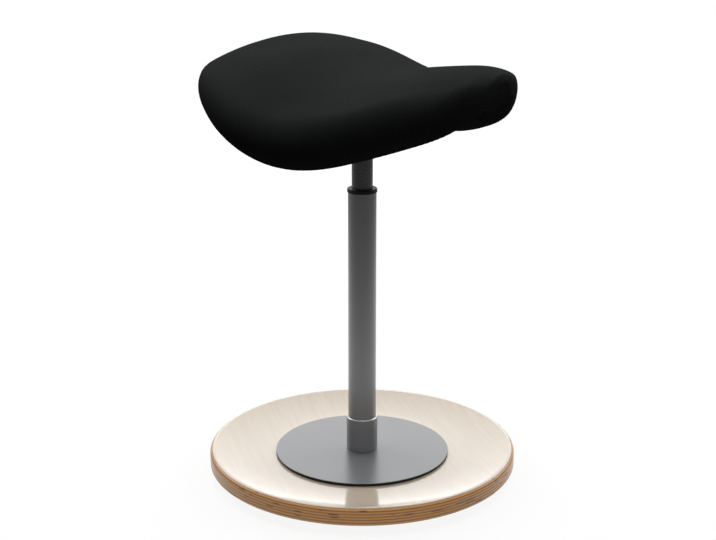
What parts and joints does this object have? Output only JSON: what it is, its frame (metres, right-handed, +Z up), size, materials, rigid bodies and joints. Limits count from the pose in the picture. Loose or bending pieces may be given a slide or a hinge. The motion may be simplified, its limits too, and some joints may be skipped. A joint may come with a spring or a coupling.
{
  "type": "saddle stool",
  "caption": "Saddle stool for active sitting: padded saddle seat on a height-adjustable gas column, with a steel disc on a dished round plywood base that rocks.",
  "frame": {"origin": "on the floor at the centre of the rubber pad, on the column's axis", "axes": "+Z up along the column, the nose of the saddle points to -Y, +X is to the sitter's left"},
  "size_m": [0.4236, 0.42, 0.5907],
  "materials": {
    "birch_plywood": "clear satin lacquer over straight-grained birch, brown plies on the edge",
    "block_plywood": "sawn and unlacquered",
    "floor_rubber": "matt, finely grained",
    "grey_steel": "satin silver-grey powder coat",
    "zinc_steel": "bright zinc plate",
    "bearing_steel": "ground and oiled",
    "cage_plastic": "natural nylon",
    "black_plastic": "satin moulded",
    "buffer_rubber": "moulded",
    "chromed_rod": "hard chrome, polished",
    "piston_aluminium": "turned",
    "black_cylinder": "dark grey satin paint",
    "black_steel": "black powder coat",
    "shell_plastic": "fine moulded grain",
    "seat_foam": "moulded polyurethane foam",
    "black_fabric": "fine knitted stretch cover, matt"
  },
  "bodies": {
    "base": {"rocker_plate": "birch_plywood", "floor_pad": "floor_rubber", "base_disc": "grey_steel", "disc_screws": "zinc_steel", "column_collar": "grey_steel", "column_bolt": "zinc_steel", "bolt_washer": "zinc_steel", "column_foot": "zinc_steel", "column_tube": "grey_steel", "tube_floor": "zinc_steel", "guide_bush": "black_plastic", "lower_race": "bearing_steel"},
    "bearing_cage": {"bearing_rollers": "bearing_steel", "roller_cage": "cage_plastic"},
    "rod": {"upper_race": "bearing_steel", "bump_stop": "buffer_rubber", "piston_rod": "chromed_rod", "rod_washer": "zinc_steel", "rod_clip": "zinc_steel", "piston": "piston_aluminium", "piston_ring": "buffer_rubber"},
    "seat": {"gas_cylinder": "black_cylinder", "rod_guide": "cage_plastic", "rod_seal": "buffer_rubber", "seat_hub": "black_steel", "seat_carrier": "black_steel", "seat_block": "block_plywood", "block_inserts": "zinc_steel", "seat_bolts": "zinc_steel", "seat_washers": "zinc_steel", "pivot_pin": "zinc_steel", "pivot_clip": "zinc_steel", "pivot_spacers": "cage_plastic", "seat_shell": "shell_plastic", "seat_foam": "seat_foam", "seat_cover": "black_fabric"},
    "lever": {"release_lever": "black_steel", "lever_grip": "black_plastic"},
    "valve_pin": {"release_pin": "chromed_rod"}
  },
  "joints": [
    {"name": "swivel", "type": "hinge", "parent": "base", "child": "rod", "pos_m": [0, 0, 0.0785], "axis": [0, 0, 1], "continuous": true},
    {"name": "cage_roll", "type": "hinge", "parent": "base", "child": "bearing_cage", "pos_m": [0, 0, 0.0785], "axis": [0, 0, 1], "continuous": true},
    {"name": "seat_lift", "type": "slide", "parent": "rod", "child": "seat", "axis": [0, 0, 1], "range_m": [-0.04, 0.16]},
    {"name": "lever_lift", "type": "hinge", "parent": "seat", "child": "lever", "pos_m": [0, 0.025, 0.4883], "axis": [1, 0, 0], "range_deg": [0, 9], "stiffness_Nm_per_rad": 1.5, "springref_deg": -5.73},
    {"name": "pin_press", "type": "slide", "parent": "seat", "child": "valve_pin", "axis": [0, 0, -1], "range_m": [0, 0.0042]}
  ],
  "couplings": [
    {"joint": "cage_roll", "follows": "swivel", "ratio": 0.5},
    {"joint": "pin_press", "follows": "lever_lift", "m_per_rad": 0.025}
  ]
}
